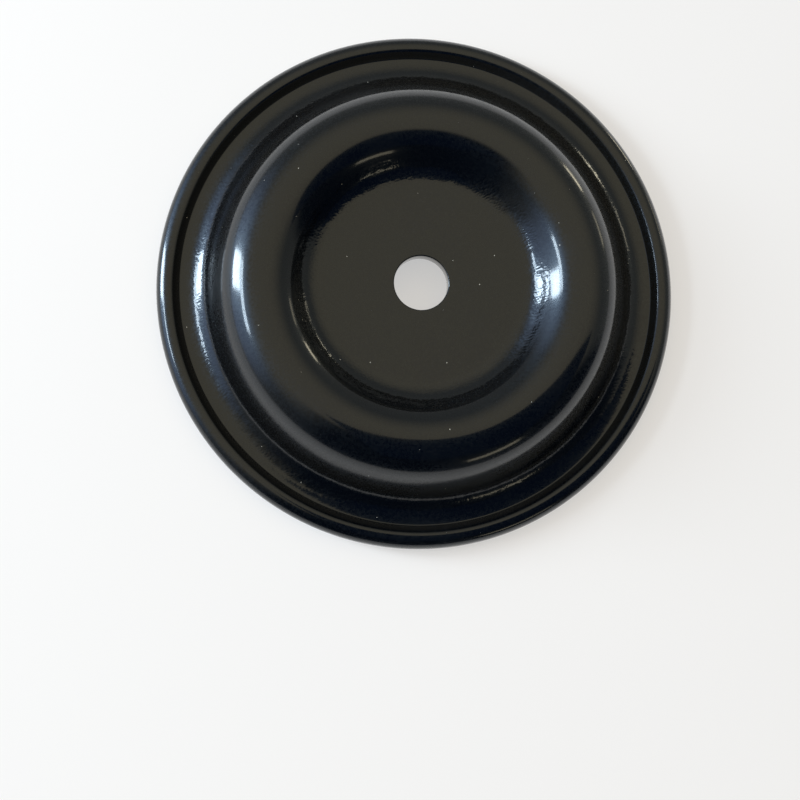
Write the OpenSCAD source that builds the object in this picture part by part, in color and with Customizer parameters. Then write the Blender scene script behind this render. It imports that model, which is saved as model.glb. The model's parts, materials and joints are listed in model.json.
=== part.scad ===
// Pump diaphragm: one moulded piece of fabric-reinforced rubber, round about Z.
// It lies with its convolution up and rests on the rim bead, whose lowest point is z = 0.

/* [Rim] */
// Outside diameter over the rim bead
outer_d = 165; // [158:1:220]
// Diameter of the round bead that the pump clamps
bead_d = 8; // [6:0.1:11]
// Radius of the blend between the bead and the flange
bead_blend_r = 0.8; // [0.2:0.1:2]
// Width of the flat ring between the blend and the foot of the outer wall
flange_w = 0.5; // [0.2:0.1:4]

/* [Convolution] */
// Thickness of the flange and of the convolution
wall_t = 3.6; // [2.4:0.1:5]
// Diameter of the circle along the crest
crest_d = 99.6; // [92:0.2:106]
// Height of the crest above the upper face of the flange
crest_h = 19; // [12:0.1:22]
// Radius of the crest, on the upper face
crest_r = 13.2; // [9:0.1:16]
// Radius of the hollow where the outer wall meets the flange, on the upper face
outer_foot_r = 9.4; // [2:0.1:12]
// Radius of the hollow where the inner wall meets the centre plate, on the upper face
inner_foot_r = 8; // [2:0.1:14]

/* [Centre plate] */
// Diameter of the flat, which the pump's two clamp plates grip
plate_d = 62; // [52:0.5:66]
// Height of the plate's upper face above the upper face of the flange
plate_h = 9.2; // [2:0.1:11]
// Thickness of the plate
plate_t = 5; // [3:0.1:7]

/* [Hole] */
// Diameter of the hole for the shaft bolt
hole_d = 17; // [8:0.1:40]
// Radius on both edges of the hole
hole_edge_r = 0.4; // [0.1:0.1:1.2]

/* [Hidden] */
$fn = 180;
bead_r = bead_d / 2;
bead_c = [outer_d / 2 - bead_r, bead_r];
flange_top = bead_c.y + wall_t / 2;
flange_bottom = bead_c.y - wall_t / 2;
crest_top = flange_top + crest_h;
crest_c = [crest_d / 2, crest_top - crest_r];
plate_top = flange_top + plate_h;
plate_bottom = plate_top - plate_t;

// How far the blend's centre lies inwards of the bead's centre, for a circle that touches both faces
blend_reach = sqrt(pow(bead_r + bead_blend_r, 2) - pow(wall_t / 2 + bead_blend_r, 2));
flange_d = 2 * (bead_c.x - blend_reach - flange_w);

// Room round the section in the area that it is cut from
blank_room = 5;
// Level far enough below the section for the areas that its faces bound
base_z = -crest_top - blank_room;
// How far an arc overlaps the straight that it runs into, so that the two cross at one clear point
lap = 0.002;
// Share of the largest possible foot radius that is used at most, which leaves a short straight wall
foot_share = 0.95;

// Largest radius of a foot that still has a common tangent with the crest, over a reach and a drop
function foot_limit(reach, drop, crest) =
    foot_share * ((reach * reach + drop * drop) / (2 * drop) - crest);

// Slope of the wall that touches the crest from above and the foot from below
function wall_slope(reach, rise, crest, foot) =
    asin((crest + foot) / norm([reach, rise])) - atan2(rise, reach);

// A hollow round of radius r about c, from one point of contact to another, filled to a point inside
module hollow_round(c, r, from, inside, to) {
    difference() {
        polygon([from, inside, to]);
        translate(c)
            circle(r + lap);
    }
}

// Everything below one face of the membrane: plate, inner foot, crest, outer foot and flange.
// The walls are straight tangents between the arcs, and depth is how far the face lies under the upper one.
module below_face(plate_z, flange_z, depth) {
    crest = crest_r - depth;
    crest_z = crest_c.y + crest;
    inner_reach = crest_c.x - plate_d / 2;
    outer_reach = flange_d / 2 - crest_c.x;
    inner_foot = min(inner_foot_r + depth, foot_limit(inner_reach, crest_z - plate_z, crest));
    outer_foot = min(outer_foot_r + depth, foot_limit(outer_reach, crest_z - flange_z, crest));
    inner_c = [plate_d / 2, plate_z + inner_foot];
    outer_c = [flange_d / 2, flange_z + outer_foot];
    inner_slope = wall_slope(inner_reach, inner_c.y - crest_c.y, crest, inner_foot);
    outer_slope = wall_slope(outer_reach, outer_c.y - crest_c.y, crest, outer_foot);
    inner_normal = [-sin(inner_slope), cos(inner_slope)];
    outer_normal = [sin(outer_slope), cos(outer_slope)];
    inner_corner = [inner_c.x + inner_foot * tan(inner_slope / 2), plate_z];
    outer_corner = [outer_c.x - outer_foot * tan(outer_slope / 2), flange_z];
    polygon([
        [0, base_z],
        [0, plate_z],
        inner_corner,
        crest_c + crest * inner_normal,
        crest_c + crest * outer_normal,
        outer_corner,
        [bead_c.x, flange_z],
        [bead_c.x, base_z]
    ]);
    translate(crest_c)
        circle(crest + lap);
    hollow_round(inner_c, inner_foot,
        [inner_c.x, plate_z], 2 * inner_corner - inner_c, inner_c - inner_foot * inner_normal);
    hollow_round(outer_c, outer_foot,
        [outer_c.x, flange_z], 2 * outer_corner - outer_c, outer_c - outer_foot * outer_normal);
}

// The round bead, with a hollow blend to each face of the flange
module rim_section() {
    translate(bead_c)
        circle(bead_r);
    for (side = [-1, 1]) {
        blend_c = bead_c + [-blend_reach, side * (wall_t / 2 + bead_blend_r)];
        on_bead = bead_c + bead_r * (blend_c - bead_c) / norm(blend_c - bead_c);
        on_flange = [blend_c.x, bead_c.y + side * wall_t / 2];
        hollow_round(blend_c, bead_blend_r, on_flange, bead_c, on_bead);
    }
}

// What the hole takes out of the plate, with both of its edges rounded
module hole_section() {
    straight = plate_t - 2 * hole_edge_r;
    wall_c = [hole_d / 2 + hole_edge_r, plate_bottom + hole_edge_r];
    difference() {
        translate([0, plate_bottom - hole_edge_r])
            square([wall_c.x, plate_t + 2 * hole_edge_r]);
        translate([hole_d / 2, wall_c.y])
            square([2 * hole_edge_r, straight]);
        for (z = [0, straight])
            translate(wall_c + [0, z])
                circle(hole_edge_r);
    }
}

// A plain area that holds the whole section, with room all round
module blank() {
    translate([0, -blank_room])
        square([outer_d / 2 + blank_room, crest_top + 2 * blank_room]);
}

// The section is what stays of the blank between the areas above, below and inside the diaphragm
module section() {
    difference() {
        blank();
        difference() {
            blank();
            below_face(plate_top, flange_top, 0);
            rim_section();
        }
        difference() {
            below_face(plate_bottom, flange_bottom, wall_t);
            rim_section();
        }
        hole_section();
    }
}

module diaphragm() {
    color([0.10, 0.10, 0.11])
        rotate_extrude()
            section();
}

diaphragm();
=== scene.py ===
"""Dresses a moulded rubber pump diaphragm and the stage that it is shown on.

The diaphragm is one closed surface of revolution: its section, of arcs and straights, is turned about Z.
All lengths are in metres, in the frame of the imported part: Z is the axis, and the rim bead rests on z = 0.
Bearings are counter-clockwise from +X, seen from above.
"""

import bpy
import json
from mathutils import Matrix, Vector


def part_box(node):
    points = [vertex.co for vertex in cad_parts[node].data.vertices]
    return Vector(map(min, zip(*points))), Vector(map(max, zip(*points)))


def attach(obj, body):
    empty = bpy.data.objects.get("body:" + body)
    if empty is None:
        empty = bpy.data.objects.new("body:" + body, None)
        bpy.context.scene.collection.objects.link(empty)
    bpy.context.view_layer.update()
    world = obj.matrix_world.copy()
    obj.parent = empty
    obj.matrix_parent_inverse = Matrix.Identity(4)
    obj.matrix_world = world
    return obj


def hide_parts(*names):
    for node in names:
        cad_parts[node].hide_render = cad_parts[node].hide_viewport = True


bl_info = {
    "name": "Pump Diaphragm",
    "version": (1, 0, 0),
    "blender": (4, 5, 0),
    "location": "View3D > Sidebar > Diaphragm",
    "description": "Builds a moulded rubber pump diaphragm and a plain stage for it",
    "category": "Add Mesh",
}

import json
import math
from typing import NamedTuple

import bpy
import numpy as np
from bpy.props import FloatProperty, FloatVectorProperty, IntProperty, PointerProperty
from mathutils import Matrix, Vector

MM = 0.001

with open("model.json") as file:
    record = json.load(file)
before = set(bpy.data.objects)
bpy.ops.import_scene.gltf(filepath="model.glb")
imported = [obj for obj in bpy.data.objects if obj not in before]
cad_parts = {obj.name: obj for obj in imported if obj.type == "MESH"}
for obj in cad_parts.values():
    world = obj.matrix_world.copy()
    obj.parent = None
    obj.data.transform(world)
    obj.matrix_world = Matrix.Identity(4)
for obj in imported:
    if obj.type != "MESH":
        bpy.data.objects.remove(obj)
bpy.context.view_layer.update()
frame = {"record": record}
NODE = "diaphragm"
MOUNTS = {mount["name"]: mount for mount in frame["record"]["mounts"]}
PLATE_TOP = MOUNTS["upper_clamp_face"]["pos_m"][2]
PLATE_BOTTOM = MOUNTS["lower_clamp_face"]["pos_m"][2]
HOLE_R = MOUNTS["centre_hole"]["dims"]["r_mm"] * MM
CREST_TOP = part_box(NODE)[1].z

# Widest angle between two points of an arc: on the faces, the bead, its blends and the edges of the hole
FACE_STEP = math.radians(5)
BEAD_STEP = math.radians(7)
BLEND_STEP = math.pi / 16
EDGE_STEP = math.pi / 8
# Share of the largest possible foot radius that is used at most, which leaves a short straight wall
FOOT_SHARE = 0.95

# Strength of the cloth's print: on the axis, and at distances in mm outwards of three circles of the section
PRINT_ON_AXIS = 0.03
PRINT_FROM_INNER_FOOT = ((-2, 0.05), (0.5, 0.45), (2.5, 1.0), (7.2, 1.0), (8.5, 0.12))
PRINT_FROM_CREST = ((-9, 0.03), (6, 0.03), (11, 0.05))
PRINT_FROM_OUTER_FOOT = ((-9, 0.1), (-6, 0.6), (-4, 0.7), (-0.5, 0.4), (1, 0.0))

# Noise patterns of the rubber and the floor: repeats to the metre, and detail
DRIFT_NOISE = (150.0, 4.0)
PATCH_NOISE = (170.0, 3.0)
FUZZ_NOISE = (2000.0, 2.0)
WAVE_NOISE = (38.0, 1.0)
SKIN_NOISE = (1100.0, 2.0)
CLOUD_NOISE = (45.0, 5.0)
BLOOM_AND_SHEEN_NOISE = (1700.0, 2.0)
FLOOR_NOISE = (9.0, 3.0)
# Values of a noise between which its effect goes from none to full
PATCH_RANGE = (0.25, 0.65)
MOTTLE_RANGE = (0.35, 0.65)
HAZE_RANGE = (0.42, 0.72)
BLOOM_AND_SHEEN_RANGE = (0.48, 0.78)

# Cloth: how unevenly its floats lie, from 0 to 1, and how much fuzz is laid over them
FLOAT_SCATTER = 0.6
FUZZ_SHARE = 0.12
# Bloom, laid on faces as far as they point up and partly a painted mottled sheen there: how much of it lies
# everywhere, and how much more where the rubber is hazy
BLOOM_AND_SHEEN_EVERYWHERE = 0.4
BLOOM_AND_SHEEN_IN_HAZE = 0.6
# Dust: cells to the metre, radius of the largest speck in cells, and share of the cells that have none
DUST_CELLS = 87.0
DUST_SIZE = 0.015
DUST_FREE = 0.55
# Roughness under the gloss, and what haze, mottling, the cloth's print and dust add to it
BASE_ROUGHNESS = 0.20
HAZE_ROUGHNESS = 0.12
MOTTLE_ROUGHNESS = 0.20
PRINT_ROUGHNESS = -0.06
DUST_ROUGHNESS = 0.40

# Floor: half its width, its darkest shade, and how much even white the camera and mirrors see in it
FLOOR_REACH = 6.0
FLOOR_SHADE = 0.985
FLOOR_WHITE = 0.5
# Dark card over the part: its height and its corners on the plan, in mm
CARD_HEIGHT = 268
CARD_CORNERS = ((-60, -330), (330, -330), (330, -18), (20, -26), (-15, -60), (-60, -75))
# Room by direction: heights between which the walls turn into the ceiling, and the pale band comes in
CEILING_RANGE = (0.45, 0.95)
SKYLINE_RANGE = (0.062, 0.044)
# Unlit side of the room: the way it faces, where it starts, its middle on the plan, and where it fades out
UNLIT_FACING = (0.035, -0.999, -0.16)
UNLIT_START = (0.02, 0.20)
UNLIT_MIDDLE = (0.839, -0.545, 0.0)
UNLIT_FADE = (-0.56, 0.06)
# Glow round the window: the way to it, the range over which it grows, and how steeply
GLOW_FACING = (-0.926, 0.163, 0.342)
GLOW_RANGE = (0.68, 0.985)
GLOW_POWER = 2.0
# Nearest and farthest distance that the camera sees
CAMERA_CLIP = (0.01, 50.0)

# Sockets of a Mix node set to colours: the share and both colours, and the result
MIX_INPUTS = (0, 6, 7)
MIX_RESULT = 2


class LightPanel(NamedTuple):
    """A rectangular light: its tint in StageSetting, how bright a mirror shows it, its place and size.

    The bearing is in degrees, and distance is from the axis.
    """

    name: str
    tint: str
    radiance: float
    bearing: float
    height: float
    distance: float
    width: float
    tall: float


PANELS = (
    LightPanel(
        "window_light", "window", radiance=33.0,
        bearing=166.8, height=0.379, distance=0.90, width=0.20, tall=0.395,
    ),
    LightPanel(
        "upper_pane_light", "window", radiance=26.0,
        bearing=174.5, height=0.734, distance=0.90, width=0.43, tall=0.072,
    ),
    LightPanel(
        "lower_pane_light", "window", radiance=26.0,
        bearing=174.5, height=0.642, distance=0.90, width=0.43, tall=0.063,
    ),
    LightPanel(
        "desk_lamp", "lamp", radiance=9.0,
        bearing=40.0, height=0.135, distance=1.20, width=0.16, tall=0.12,
    ),
    LightPanel(
        "far_lamp", "lamp", radiance=2.5,
        bearing=25.0, height=0.20, distance=1.20, width=0.20, tall=0.12,
    ),
    LightPanel(
        "tube_lamp", "lamp", radiance=2.4,
        bearing=302.0, height=0.465, distance=1.20, width=0.42, tall=0.14,
    ),
)


def length(name, description, default):
    """A length property, in metres."""
    return FloatProperty(
        name=name, description=description, default=default, min=0.0, precision=5,
        subtype="DISTANCE", unit="LENGTH",
    )


def colour(name, description, default):
    """A colour property, in linear light."""
    return FloatVectorProperty(
        name=name, description=description, default=default, min=0.0, soft_max=1.0, size=3, subtype="COLOR"
    )


def angle(name, description, degrees):
    """An angle property, given in degrees and kept in radians."""
    return FloatProperty(
        name=name, description=description, default=math.radians(degrees), subtype="ANGLE", unit="ROTATION"
    )


class DiaphragmSizes(bpy.types.PropertyGroup):
    """Sizes of the section, and how finely it is turned."""

    outer_d: length("Outside diameter", "Diameter over the rim bead", 165 * MM)
    bead_d: length("Bead", "Diameter of the round rim bead", 8 * MM)
    bead_blend_r: length("Bead blend", "Radius between the bead and the flange", 0.8 * MM)
    shoulder_r: length("Bead shoulder", "Radius of the bead's inner shoulder on the upper face", 2.4 * MM)
    bead_flank: angle("Bead flank", "Slope of the bead's inner flank on the upper face", 42)
    flange_w: length("Flange flat", "Width of the flat ring inside the bead", 0.5 * MM)
    wall_t: length("Wall", "Thickness of the flange and the convolution", 3.6 * MM)
    crest_d: length("Crest circle", "Diameter of the circle along the crest", 99.6 * MM)
    crest_r: length("Crest radius", "Radius of the crest's upper face", 13.2 * MM)
    outer_foot_r: length("Outer foot", "Radius between the outer wall and the flange", 9.4 * MM)
    inner_foot_r: length("Inner foot", "Radius between the inner wall and the plate", 9 * MM)
    plate_d: length("Plate", "Diameter of the flat centre plate", 62 * MM)
    plate_top: length("Plate top", "Height of the plate's upper face", PLATE_TOP)
    plate_bottom: length("Plate bottom", "Height of the plate's lower face", PLATE_BOTTOM)
    crest_top: length("Crest top", "Height of the crest", CREST_TOP)
    hole_r: length("Hole radius", "Radius of the centre hole", HOLE_R)
    hole_edge_r: length("Hole edge", "Radius on both edges of the hole", 0.4 * MM)
    ring_step: length("Ring step", "Widest distance between two rings of points", 1.7 * MM)
    turns: IntProperty(name="Points round", description="Points on each ring", default=360, min=24)


class RubberFinish(bpy.types.PropertyGroup):
    """Finish of the black rubber and of the cloth that prints through it."""

    black: colour("Rubber", "Colour of the rubber", (0.0008, 0.0011, 0.0018))
    # Bloom is mixed in on faces as far as they point up: partly a pale film on the rubber, partly a painted
    # mottled sheen
    bloom_and_sheen: colour("Bloom", "Colour of the faint bloom on the rubber", (0.0062, 0.0062, 0.0066))
    dust: colour("Dust", "Colour of the dust specks", (0.55, 0.52, 0.46))
    warp_pitch: length("Warp pitch", "Length of one float of the cloth's thread", 1.0 * MM)
    weft_pitch: length("Weft pitch", "Distance between two threads of the cloth", 0.8 * MM)
    cloth_turn: angle("Cloth turn", "Direction of the cloth's threads, from X", 20)
    thread_drift: length("Thread drift", "Width of the band that the cloth's threads wander in", 2.0 * MM)
    print_depth: length("Print depth", "Depth of the cloth's print where it is strongest", 0.075 * MM)
    wave_depth: length("Wave depth", "Depth of the slow waves in the skin", 0.10 * MM)
    gloss_depth: length("Gloss depth", "Depth of the skin's grain in the gloss", 0.003 * MM)
    grain_depth: length("Grain depth", "Depth of the skin's grain under the gloss", 0.016 * MM)


class StageSetting(bpy.types.PropertyGroup):
    """Camera, floor and light."""

    view_bearing: angle("Bearing", "Direction from the part to the camera, from X", 241.8)
    view_tilt: angle("Tilt", "Angle of the camera from straight above", 12.16)
    view_distance: length("Distance", "Distance of the camera from the part", 412 * MM)
    view_lens: FloatProperty(name="Lens", description="Focal length in mm", default=58.1, min=1.0)
    aim: FloatVectorProperty(
        name="Aim", description="Point that the camera looks at", default=(-5.9 * MM, -35.8 * MM, 6 * MM),
        size=3, subtype="XYZ", unit="LENGTH",
    )
    floor_colour: colour("Floor", "Colour of the floor", (0.945, 0.885, 0.845))
    ceiling: colour("Ceiling", "Soft light overhead", (0.94, 0.84, 0.62))
    walls: colour("Walls", "Light of the room's walls", (0.33, 0.34, 0.32))
    front: colour("Front", "Light from the unlit side of the room", (0.013, 0.025, 0.050))
    card: colour("Card", "Light from the dark card over the part", (0.015, 0.037, 0.094))
    skyline: colour("Skyline", "Pale band behind the floor's edge", (0.72, 0.72, 0.715))
    window: colour("Window", "Tint of the window lights", (0.76, 0.92, 1.05))
    glow: colour("Glow", "Soft light round the window", (1.1, 1.4, 2.0))
    lamp: colour("Lamp", "Tint of the small lamps", (1.0, 0.90, 0.66))


def arc(centre, radius, start, stop, step=FACE_STEP):
    """Points of a circle from one angle to another: centre + radius * (cos a, sin a)."""
    count = max(3, math.ceil(abs(stop - start) / step) + 1)
    a = np.linspace(start, stop, count)
    return np.column_stack((centre[0] + radius * np.cos(a), centre[1] + radius * np.sin(a)))


def wall_slope(reach, rise, crest, foot):
    """Slope of the straight that touches two circles on opposite sides.

    The circles have the radii crest and foot, and the foot's centre lies reach outwards and rise upwards:
    asin((crest + foot) / distance) - atan2(rise, reach).
    """
    return math.asin((crest + foot) / math.hypot(reach, rise)) - math.atan2(rise, reach)


def foot_limit(reach, drop, crest):
    """Largest radius of a foot that leaves a short straight wall between it and the crest."""
    return FOOT_SHARE * ((reach ** 2 + drop ** 2) / (2 * drop) - crest)


def face_line(size, plate_z, flange_z, depth, flange_r):
    """One face of the membrane in section, from the plate to the flange: three arcs joined by straights.

    The foot of the inner wall, the crest and the foot of the outer wall are circles, each tangent to the next
    wall, and depth is how far this face lies under the upper one.
    """
    crest_c = (size.crest_d / 2, size.crest_top - size.crest_r)
    crest = size.crest_r - depth
    top = crest_c[1] + crest
    inner_reach = crest_c[0] - size.plate_d / 2
    outer_reach = flange_r - crest_c[0]
    inner_foot = min(size.inner_foot_r + depth, foot_limit(inner_reach, top - plate_z, crest))
    outer_foot = min(size.outer_foot_r + depth, foot_limit(outer_reach, top - flange_z, crest))
    inner_c = (size.plate_d / 2, plate_z + inner_foot)
    outer_c = (flange_r, flange_z + outer_foot)
    inner = wall_slope(inner_reach, inner_c[1] - crest_c[1], crest, inner_foot)
    outer = wall_slope(outer_reach, outer_c[1] - crest_c[1], crest, outer_foot)
    down, up = -math.pi / 2, math.pi / 2
    return np.vstack((
        arc(inner_c, inner_foot, down, down + inner),
        arc(crest_c, crest, up + inner, up - outer),
        arc(outer_c, outer_foot, down - outer, down),
    ))


def with_points_between(points, widest):
    """A closed line with points added at even steps wherever two of them lie more than widest apart."""
    closed = np.vstack((points, points[:1]))
    along = np.concatenate(([0.0], np.cumsum(np.hypot(*np.diff(closed, axis=0).T))))
    pieces = np.ceil(np.diff(along) / widest).astype(int)
    first = np.repeat(along[:-1], pieces)
    count = np.arange(pieces.sum()) - np.repeat(np.cumsum(pieces) - pieces, pieces)
    where = first + count * np.repeat(np.diff(along) / pieces, pieces)
    return np.column_stack((np.interp(where, along, closed[:, 0]), np.interp(where, along, closed[:, 1])))


def section_outline(size):
    """The closed section as points (r, z), clockwise from the upper edge of the hole.

    It runs out along the upper face, round the bead, in along the lower face and up the wall of the hole.
    On the upper face the bead falls inwards by a tight shoulder and a straight flank, and the blend at the
    foot of that flank touches the flange as well.
    """
    bead_r = size.bead_d / 2
    bead_c = np.array((size.outer_d / 2 - bead_r, bead_r))
    half = size.wall_t / 2
    blend_r = size.bead_blend_r
    reach = math.sqrt((bead_r + blend_r) ** 2 - (half + blend_r) ** 2)
    contact = math.atan2(half + blend_r, -reach)
    flange_r = bead_c[0] - reach - size.flange_w
    flank = size.bead_flank
    shoulder_c = bead_c + (0.0, bead_r - size.shoulder_r)
    on_flank = shoulder_c + size.shoulder_r * np.array((-math.sin(flank), math.cos(flank)))
    foot_z = bead_r + half + blend_r
    foot_r = on_flank[0] - (blend_r + (on_flank[1] - foot_z) * math.cos(flank)) / math.sin(flank)
    lower_blend_c = (bead_c[0] - reach, bead_r - half - blend_r)
    edge = size.hole_edge_r
    lip = size.hole_r + edge
    quarter = math.pi / 2
    points = np.vstack((
        arc((lip, size.plate_top - edge), edge, math.pi, quarter, EDGE_STEP),
        face_line(size, size.plate_top, bead_r + half, 0.0, flange_r),
        arc((foot_r, foot_z), blend_r, -quarter, flank - quarter, BLEND_STEP),
        arc(shoulder_c, size.shoulder_r, quarter + flank, quarter),
        arc(bead_c, bead_r, quarter, -contact, BEAD_STEP)[1:],
        arc(lower_blend_c, blend_r, math.pi - contact, quarter, BLEND_STEP),
        face_line(size, size.plate_bottom, bead_r - half, size.wall_t, flange_r)[::-1],
        arc((lip, size.plate_bottom + edge), edge, -quarter, -math.pi, EDGE_STEP),
    ))
    return with_points_between(points, size.ring_step)


def cloth_print(size, outline):
    """How strongly the cloth prints through at each point of the outline, from 0 to 1.

    It is strongest in the two hollow feet and absent on the bead, and changes evenly between the values.
    """
    circles = (
        (size.plate_d / 2, PRINT_FROM_INNER_FOOT),
        (size.crest_d / 2, PRINT_FROM_CREST),
        (size.outer_d / 2 - size.bead_d - size.flange_w, PRINT_FROM_OUTER_FOOT),
    )
    knots = [(radius + step * MM, strength) for radius, steps in circles for step, strength in steps]
    return np.interp(outline[:, 0], *np.array([(0.0, PRINT_ON_AXIS), *knots]).T)


def turned_surface(outline, turns):
    """Turns a closed outline (r, z) about Z: (r cos t, r sin t, z), as points and outward quads."""
    t = np.arange(turns) * (2 * math.pi / turns)
    r, z = outline[:, :1], outline[:, 1:]
    points = np.stack((r * np.cos(t), r * np.sin(t), np.broadcast_to(z, (len(z), turns))), axis=-1)
    ring, spoke = np.meshgrid(np.arange(len(outline)), np.arange(turns), indexing="ij")
    next_ring, next_spoke = (ring + 1) % len(outline), (spoke + 1) % turns
    quads = np.stack((
        ring * turns + spoke,
        next_ring * turns + spoke,
        next_ring * turns + next_spoke,
        ring * turns + next_spoke,
    ), axis=-1)
    return points.reshape(-1, 3), quads.reshape(-1, 4)


def link_object(name, data):
    """Puts new data into the scene as an object at the origin."""
    obj = bpy.data.objects.new(name, data)
    bpy.context.scene.collection.objects.link(obj)
    return obj


class NodeSheet:
    """A small writer for node trees, which starts from an empty one."""

    def __init__(self, tree):
        self.tree = tree
        tree.nodes.clear()

    def add(self, kind, inputs=None, **settings):
        """A new node with its settings, its inputs set, and those that are given as sockets linked."""
        node = self.tree.nodes.new(kind)
        for key, value in settings.items():
            setattr(node, key, value)
        for key, value in (inputs or {}).items():
            if isinstance(value, bpy.types.NodeSocket):
                self.tree.links.new(value, node.inputs[key])
            else:
                node.inputs[key].default_value = value
        return node

    def maths(self, operation, first, second=0.0, third=0.0):
        """Result of a Math node on up to three numbers."""
        return self.add("ShaderNodeMath", {0: first, 1: second, 2: third}, operation=operation).outputs[0]

    def vector(self, operation, first, second=(0.0, 0.0, 0.0)):
        """Result of a Vector Math node: a number for a length or a dot product, and else a vector."""
        node = self.add("ShaderNodeVectorMath", {0: first, 1: second}, operation=operation)
        return node.outputs["Value" if operation in ("LENGTH", "DOT_PRODUCT") else "Vector"]

    def noise(self, place, repeats, detail, output="Fac"):
        """A noise with so many repeats to the metre, as a number or as a colour."""
        inputs = {"Vector": place, "Scale": repeats, "Detail": detail}
        return self.add("ShaderNodeTexNoise", inputs).outputs[output]

    def ramp(self, value, low, high):
        """0 below low and 1 above high, with soft ends, or the other way round where low is the larger."""
        inputs = {"Value": value, "From Min": low, "From Max": high}
        return self.add("ShaderNodeMapRange", inputs, interpolation_type="SMOOTHSTEP").outputs["Result"]

    def mix(self, share, first, second):
        """A colour that goes from the first to the second as the share goes from 0 to 1."""
        colours = (
            value if isinstance(value, bpy.types.NodeSocket) else (*value, 1.0) for value in (first, second)
        )
        inputs = dict(zip(MIX_INPUTS, (share, *colours)))
        return self.add("ShaderNodeMix", inputs, data_type="RGBA").outputs[MIX_RESULT]

    def bump(self, height, depth, normal=None):
        """Normal of a surface raised by a height from 0 to 1 times a depth, over another normal if given."""
        inputs = {"Strength": 1.0, "Distance": depth, "Height": height}
        if normal is not None:
            inputs["Normal"] = normal
        return self.add("ShaderNodeBump", inputs).outputs[0]


def new_material(name):
    """A new material, and the sheet that its nodes are written on."""
    material = bpy.data.materials.new(name)
    material.use_nodes = True
    return material, NodeSheet(material.node_tree)


def skin_normal(sheet, place, shown, finish):
    """Normal of the rubber's skin, with slow waves and the print of a woven cloth.

    Each float of the cloth's thread is a low dome: 1 - d * d, where d is the distance to its middle, in
    pitches of the cloth. The floats lie a little unevenly on the plan, and shown says how far they show.
    """
    drift = sheet.vector("SUBTRACT", sheet.noise(place, *DRIFT_NOISE, output="Color"), (0.5, 0.5, 0.5))
    drift = sheet.vector("MULTIPLY", drift, (finish.thread_drift,) * 3)
    loose = sheet.vector("ADD", place, drift)
    laid = sheet.add("ShaderNodeMapping", {"Vector": loose, "Rotation": (0.0, 0.0, -finish.cloth_turn)})
    pitches = (1 / finish.warp_pitch, 1 / finish.weft_pitch, 0.0)
    threads = sheet.vector("MULTIPLY", laid.outputs[0], pitches)
    middle = sheet.add(
        "ShaderNodeTexVoronoi", {"Vector": threads, "Scale": 1.0, "Randomness": FLOAT_SCATTER},
        voronoi_dimensions="2D", feature="SMOOTH_F1",
    ).outputs["Distance"]
    dome = sheet.maths("SUBTRACT", 1.0, sheet.maths("MULTIPLY", middle, middle))
    patches = sheet.ramp(sheet.noise(place, *PATCH_NOISE), *PATCH_RANGE)
    woven = sheet.maths("MULTIPLY", dome, patches)
    woven = sheet.maths("MULTIPLY_ADD", sheet.noise(place, *FUZZ_NOISE), FUZZ_SHARE, woven)
    woven = sheet.maths("MULTIPLY", woven, shown)
    waves = sheet.bump(sheet.noise(place, *WAVE_NOISE), finish.wave_depth)
    return sheet.bump(woven, finish.print_depth, waves)


def dust_specks(sheet, place, upward):
    """Small specks of dust, as 1 on a speck that faces up, less on a steeper one and 0 beside it.

    The plan is cut into uneven cells, and a cell's own colour says whether it has a speck, and how large.
    """
    cells = sheet.add(
        "ShaderNodeTexVoronoi", {"Vector": place, "Scale": DUST_CELLS}, voronoi_dimensions="2D", feature="F1"
    ).outputs
    chance = sheet.add("ShaderNodeSeparateColor", {0: cells["Color"]}).outputs
    radius = sheet.maths("MULTIPLY", chance["Green"], DUST_SIZE)
    inside = sheet.maths("LESS_THAN", cells["Distance"], radius)
    dusty = sheet.maths("GREATER_THAN", chance["Red"], DUST_FREE)
    return sheet.maths("MULTIPLY", sheet.maths("MULTIPLY", inside, dusty), upward)


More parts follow.
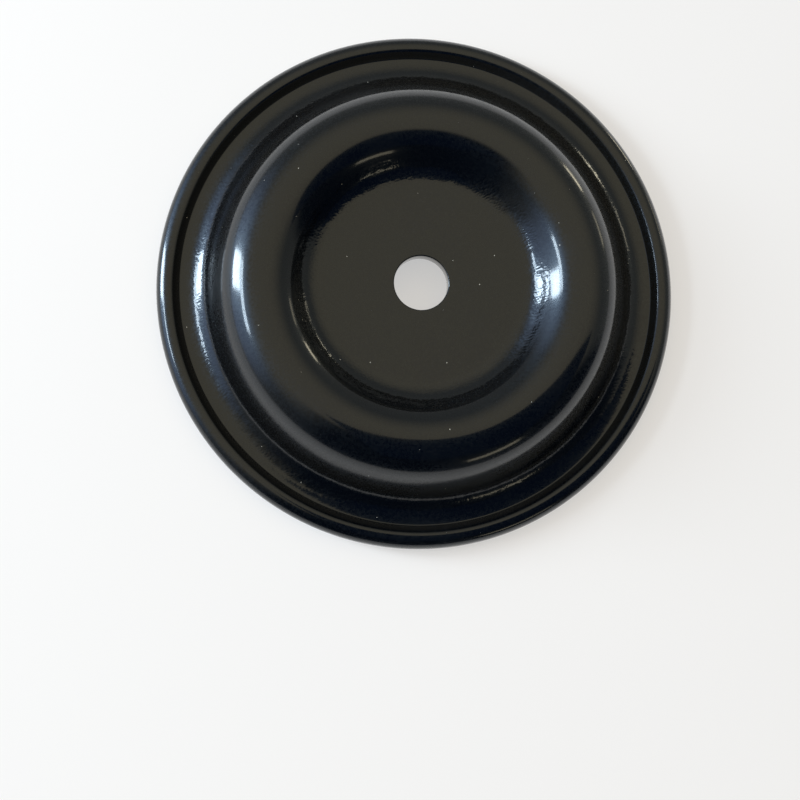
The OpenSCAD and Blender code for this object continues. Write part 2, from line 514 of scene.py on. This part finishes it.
def rubber_material(finish):
    """Glossy black rubber: a sharp gloss over a softer, mottled one whose reflection is tinted blue as
    painted light, with a faint pale bloom on faces that point up that is partly a painted sheen, and specks
    of dust.

    The attribute cloth_print says how far the cloth prints through, and upward how far a face points up.
    """
    material, sheet = new_material("black_rubber")
    place = sheet.add("ShaderNodeTexCoord").outputs["Object"]
    shown = sheet.add("ShaderNodeAttribute", attribute_name="cloth_print").outputs["Fac"]
    upward = sheet.add("ShaderNodeAttribute", attribute_name="upward").outputs["Fac"]

    normal = skin_normal(sheet, place, shown, finish)
    skin = sheet.noise(place, *SKIN_NOISE)
    gloss = sheet.bump(skin, finish.gloss_depth, normal)
    grain = sheet.bump(skin, finish.grain_depth, normal)

    haze = sheet.ramp(sheet.noise(place, *CLOUD_NOISE), *HAZE_RANGE)
    # Pale patches of bloom, more where the rubber is hazy and laid on faces as far as they point up: partly
    # real, partly a painted mottled sheen
    pale_patch_and_sheen = sheet.ramp(sheet.noise(place, *BLOOM_AND_SHEEN_NOISE), *BLOOM_AND_SHEEN_RANGE)
    pale_patch_and_sheen = sheet.maths("MULTIPLY", pale_patch_and_sheen, sheet.maths("MULTIPLY_ADD", haze, BLOOM_AND_SHEEN_IN_HAZE, BLOOM_AND_SHEEN_EVERYWHERE))
    specks = dust_specks(sheet, place, upward)
    # Base colour: black, paler in those patches; the paler colour on upward faces is partly a painted sheen
    rubber = sheet.mix(sheet.maths("MULTIPLY", pale_patch_and_sheen, upward), finish.black, finish.bloom_and_sheen)
    base = sheet.mix(specks, rubber, finish.dust)

    mottle = sheet.maths("MULTIPLY", sheet.ramp(skin, *MOTTLE_RANGE), upward)
    causes = (
        (haze, HAZE_ROUGHNESS),
        (mottle, MOTTLE_ROUGHNESS),
        (shown, PRINT_ROUGHNESS),
        (specks, DUST_ROUGHNESS),
    )
    rough = BASE_ROUGHNESS
    for cause, weight in causes:
        rough = sheet.maths("MULTIPLY_ADD", cause, weight, rough)
    # The softer gloss has a blue Specular Tint: a painted tint, the bluish light of the window put into the
    # rubber's reflection
    shader = sheet.add("ShaderNodeBsdfPrincipled", {
        "Base Color": base, "Roughness": rough, "Normal": grain, "IOR": 1.5, "Specular IOR Level": 0.19,
        "Specular Tint": (0.68, 0.85, 1.0, 1.0),
        "Coat Weight": 1.0, "Coat Roughness": 0.105, "Coat IOR": 1.42, "Coat Normal": gloss,
    })
    sheet.add("ShaderNodeOutputMaterial", {"Surface": shader.outputs[0]})
    return material


class DIAPHRAGM_OT_rubber(bpy.types.Operator):
    """Build the moulded rubber diaphragm"""

    bl_idname = "diaphragm.rubber"
    bl_label = "Moulded Diaphragm"

    def execute(self, context):
        size = context.scene.diaphragm_sizes
        outline = section_outline(size)
        points, quads = turned_surface(outline, size.turns)
        mesh = bpy.data.meshes.new("moulded_diaphragm")
        mesh.from_pydata(points, [], quads)
        mesh.polygons.foreach_set("use_smooth", np.ones(len(quads), dtype=bool))
        normals = np.empty(len(points) * 3)
        mesh.vertex_normals.foreach_get("vector", normals)
        shown = np.repeat(cloth_print(size, outline), size.turns)
        upward = np.clip(normals.reshape(-1, 3)[:, 2], 0.0, 1.0)
        for name, values in (("cloth_print", shown), ("upward", upward)):
            mesh.attributes.new(name, "FLOAT", "POINT").data.foreach_set("value", values)
        mesh.validate()
        piece = link_object("moulded_diaphragm", mesh)
        mesh.materials.append(rubber_material(context.scene.rubber_finish))
        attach(piece, "root")
        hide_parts(NODE)
        return {"FINISHED"}


def floor_material(setting):
    """Matt pale floor with a very faint unevenness.

    What the camera, mirrors and glass see of it is partly an even white, and the rest keeps the shadow.
    """
    material, sheet = new_material("pale_floor")
    place = sheet.add("ShaderNodeTexCoord").outputs["Object"]
    pale = Vector(setting.floor_colour)
    base = sheet.mix(sheet.noise(place, *FLOOR_NOISE), pale * FLOOR_SHADE, pale)
    matt = sheet.add("ShaderNodeBsdfPrincipled", {
        "Base Color": base, "Roughness": 0.9, "Specular IOR Level": 0.1,
    })
    white = sheet.add("ShaderNodeEmission", {"Color": (1.0, 1.0, 1.0, 1.0), "Strength": 1.0})
    path = sheet.add("ShaderNodeLightPath").outputs
    seen = sheet.maths("ADD", path["Is Camera Ray"], path["Is Glossy Ray"])
    seen = sheet.maths("MINIMUM", sheet.maths("ADD", seen, path["Is Transmission Ray"]), 1.0)
    share = sheet.maths("MULTIPLY", seen, FLOOR_WHITE)
    floor = sheet.add("ShaderNodeMixShader", {0: share, 1: matt.outputs[0], 2: white.outputs[0]})
    sheet.add("ShaderNodeOutputMaterial", {"Surface": floor.outputs[0]})
    return material


def card_material(setting):
    """Even dark colour, with no light or shade on it."""
    material, sheet = new_material("dark_card")
    dark = sheet.add("ShaderNodeEmission", {"Color": (*setting.card, 1.0), "Strength": 1.0})
    sheet.add("ShaderNodeOutputMaterial", {"Surface": dark.outputs[0]})
    return material


def stage_plane(name, corners, material):
    """One flat face through its corners, with its material."""
    mesh = bpy.data.meshes.new(name)
    mesh.from_pydata(corners, [], [tuple(range(len(corners)))])
    mesh.materials.append(material)
    plane = link_object(name, mesh)
    return plane


def lay_floor(setting):
    """The square floor that the part rests on."""
    corners = FLOOR_REACH * np.array(((-1, -1, 0), (1, -1, 0), (1, 1, 0), (-1, 1, 0)))
    stage_plane("floor", corners, floor_material(setting))


def hang_card(setting):
    """The dark card over the part, which shows in the gloss but isn't seen and casts no shadow."""
    corners = np.array([(*corner, CARD_HEIGHT) for corner in CARD_CORNERS]) * MM
    card = stage_plane("dark_card", corners, card_material(setting))
    card.visible_camera = card.visible_diffuse = card.visible_shadow = False


def room_world(setting):
    """The room as a soft light that depends on the direction alone.

    With height the walls turn into the ceiling. The side towards -Y is unlit: it starts a little past
    overhead and fades out towards -X. A soft glow lies round the window, and a pale band just above the
    floor's edge.
    """
    world = bpy.data.worlds.new("room")
    world.use_nodes = True
    sheet = NodeSheet(world.node_tree)
    direction = sheet.add("ShaderNodeTexCoord").outputs["Generated"]
    height = sheet.add("ShaderNodeSeparateXYZ", {0: direction}).outputs["Z"]
    spread = sheet.vector("LENGTH", sheet.vector("MULTIPLY", direction, (1.0, 1.0, 0.0)))
    past = sheet.vector("DOT_PRODUCT", direction, UNLIT_FACING)
    aside = sheet.maths("DIVIDE", sheet.vector("DOT_PRODUCT", direction, UNLIT_MIDDLE), spread)
    unlit = sheet.maths("MULTIPLY", sheet.ramp(past, *UNLIT_START), sheet.ramp(aside, *UNLIT_FADE))
    nearby = sheet.vector("DOT_PRODUCT", direction, GLOW_FACING)
    glow = sheet.maths("POWER", sheet.ramp(nearby, *GLOW_RANGE), GLOW_POWER)
    room = sheet.mix(sheet.ramp(height, *CEILING_RANGE), setting.walls, setting.ceiling)
    room = sheet.mix(unlit, room, setting.front)
    room = sheet.mix(glow, room, setting.glow)
    room = sheet.mix(sheet.ramp(height, *SKYLINE_RANGE), room, setting.skyline)
    shader = sheet.add("ShaderNodeBackground", {"Color": room, "Strength": 1.0})
    sheet.add("ShaderNodeOutputWorld", {"Surface": shader.outputs[0]})
    return world


def panel_light(panel, tint):
    """A rectangular light that stands upright at its bearing (degrees) and height, and faces the axis.

    Its power is radiance * pi * area, so that a mirror shows it at that radiance.
    """
    data = bpy.data.lights.new(panel.name, "AREA")
    data.shape = "RECTANGLE"
    data.size, data.size_y = panel.width, panel.tall
    data.color = tint
    data.energy = panel.radiance * math.pi * panel.width * panel.tall
    turn = math.radians(panel.bearing)
    outwards = Vector((panel.distance * math.cos(turn), panel.distance * math.sin(turn), 0.0))
    place = outwards + Vector((0.0, 0.0, panel.height))
    lamp = link_object(panel.name, data)
    lamp.matrix_world = Matrix.Translation(place) @ outwards.to_track_quat("Z", "Y").to_matrix().to_4x4()
    lamp.visible_camera = False


def photo_camera(setting):
    """The camera, above the part and a little towards -X and -Y, with +Y up in the picture."""
    tilt, turn = setting.view_tilt, setting.view_bearing
    aim = Vector(setting.aim)
    towards = Vector((math.sin(tilt) * math.cos(turn), math.sin(tilt) * math.sin(turn), math.cos(tilt)))
    place = towards * setting.view_distance + Vector((0.0, 0.0, aim.z))
    back = (place - aim).normalized()
    right = Vector((0.0, 1.0, 0.0)).cross(back).normalized()
    up = back.cross(right)
    data = bpy.data.cameras.new("camera")
    data.sensor_fit = "HORIZONTAL"
    data.lens = setting.view_lens
    data.clip_start, data.clip_end = CAMERA_CLIP
    camera = link_object("camera", data)
    camera.matrix_world = Matrix.Translation(place) @ Matrix((right, up, back)).transposed().to_4x4()
    return camera


class DIAPHRAGM_OT_stage(bpy.types.Operator):
    """Lay the floor, set the lights and place the camera"""

    bl_idname = "diaphragm.stage"
    bl_label = "Stage"

    def execute(self, context):
        scene = context.scene
        setting = scene.stage_setting
        lay_floor(setting)
        hang_card(setting)
        scene.world = room_world(setting)
        for panel in PANELS:
            panel_light(panel, getattr(setting, panel.tint))
        scene.camera = photo_camera(setting)
        scene.view_settings.view_transform = "Standard"
        return {"FINISHED"}


class DIAPHRAGM_PT_sidebar(bpy.types.Panel):
    """Sidebar panel with the pieces and their sizes"""

    bl_label = "Pump Diaphragm"
    bl_idname = "DIAPHRAGM_PT_sidebar"
    bl_space_type = "VIEW_3D"
    bl_region_type = "UI"
    bl_category = "Diaphragm"

    def draw(self, context):
        layout = self.layout
        for operator in (DIAPHRAGM_OT_rubber, DIAPHRAGM_OT_stage):
            layout.operator(operator.bl_idname)
        for owner in SETTINGS:
            group = getattr(context.scene, owner)
            column = layout.column(align=True)
            for key in group.bl_rna.properties.keys():
                if key not in ("rna_type", "name"):
                    column.prop(group, key)


SETTINGS = {
    "diaphragm_sizes": DiaphragmSizes,
    "rubber_finish": RubberFinish,
    "stage_setting": StageSetting,
}
CLASSES = (*SETTINGS.values(), DIAPHRAGM_OT_rubber, DIAPHRAGM_OT_stage, DIAPHRAGM_PT_sidebar)


def register():
    """Registers the classes and hangs the settings on the scene."""
    for cls in CLASSES:
        bpy.utils.register_class(cls)
    for owner, group in SETTINGS.items():
        setattr(bpy.types.Scene, owner, PointerProperty(type=group))


def unregister():
    """Takes the settings off the scene and the classes out again."""
    for owner in SETTINGS:
        delattr(bpy.types.Scene, owner)
    for cls in reversed(CLASSES):
        bpy.utils.unregister_class(cls)


def main():
    """Builds the part and its stage."""
    register()
    bpy.ops.diaphragm.rubber()
    bpy.ops.diaphragm.stage()


if __name__ == "__main__":
    main()
